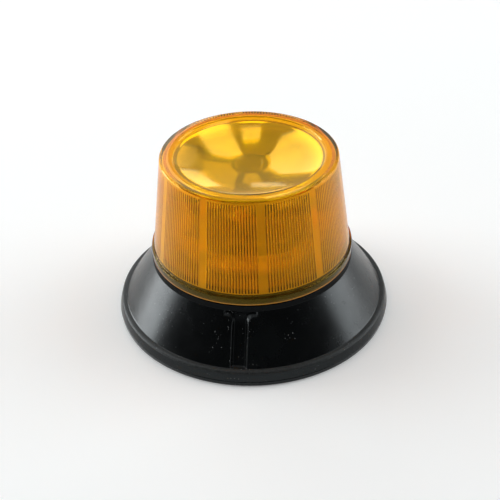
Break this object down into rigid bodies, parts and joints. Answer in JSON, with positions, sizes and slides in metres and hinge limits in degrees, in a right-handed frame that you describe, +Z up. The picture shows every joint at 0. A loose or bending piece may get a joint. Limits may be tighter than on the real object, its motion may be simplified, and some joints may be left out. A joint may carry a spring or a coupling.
{
  "type": "rotating beacon",
  "caption": "Low magnetic-mount warning beacon with a fluted amber lens, a motor-driven rotating reflector round a fixed bulb, and a flared rubber boot.",
  "frame": {"origin": "centre of the boot's rim, on the surface that the beacon stands on", "axes": "+Z up along the spindle, -Y towards the cable channel in the boot, +Y along the cable inlet"},
  "size_m": [0.1816, 0.1816, 0.1132],
  "materials": {
    "amber_lens": "clear amber polycarbonate, polished",
    "polished_sheet": "mirror-polished sheet",
    "boot_rubber": "satin moulded rubber",
    "housing_plastic": "fine matt black",
    "plated_steel": "bright zinc plated",
    "ferrite": "ground dark grey ferrite",
    "acetal": "natural white acetal",
    "metallised": "vacuum-metallised bowl with a dark back",
    "brass": "bright brass",
    "bulb_glass": "clear glass",
    "tungsten": "grey tungsten wire",
    "phenolic": "brown phenolic",
    "seal_rubber": "closed-cell black rubber",
    "terminal_plastic": "ivory polyamide",
    "lead_insulation": "red PVC insulation"
  },
  "bodies": {
    "base": {"lens_seal": "seal_rubber", "rubber_boot": "boot_rubber", "base_housing": "housing_plastic", "magnet_cup": "plated_steel", "ring_magnet": "ferrite", "magnet_screw": "plated_steel", "magnet_nut": "plated_steel", "chassis_plate": "plated_steel", "chassis_screws": "plated_steel", "spindle": "plated_steel", "spindle_rivets": "brass", "thrust_washer": "acetal", "retaining_clip": "plated_steel", "motor_can": "plated_steel", "motor_end_cap": "housing_plastic", "motor_tags": "brass", "motor_screws": "plated_steel", "bulb_holder": "phenolic", "bulb_collar": "brass", "bulb_glass": "bulb_glass", "bulb_filament": "tungsten", "cable_grommet": "seal_rubber", "terminal_block": "terminal_plastic", "terminal_screws": "plated_steel", "suppression_choke": "housing_plastic", "motor_leads": "lead_insulation", "lamp_leads": "lead_insulation"},
    "lens_cover": {"lens": "amber_lens", "heat_shield": "polished_sheet", "shield_washers": "plated_steel"},
    "reflector_carrier": {"drive_gear": "acetal", "bearing_bush": "brass", "reflector": "metallised", "reflector_screws": "plated_steel"},
    "motor_rotor": {"motor_shaft": "plated_steel", "drive_pinion": "brass"}
  },
  "joints": [
    {"name": "lens_twist", "type": "hinge", "parent": "base", "child": "lens_cover", "pos_m": [0, 0, 0.0437], "axis": [0, 0, 1], "range_deg": [0, 20]},
    {"name": "reflector_spin", "type": "hinge", "parent": "base", "child": "reflector_carrier", "pos_m": [0, 0, 0.0418], "axis": [0, 0, 1], "continuous": true},
    {"name": "rotor_spin", "type": "hinge", "parent": "base", "child": "motor_rotor", "pos_m": [-0.03552, -0.01293, 0.0418], "axis": [0, 0, 1], "continuous": true}
  ],
  "couplings": [
    {"joint": "rotor_spin", "follows": "reflector_spin", "ratio": -8}
  ]
}
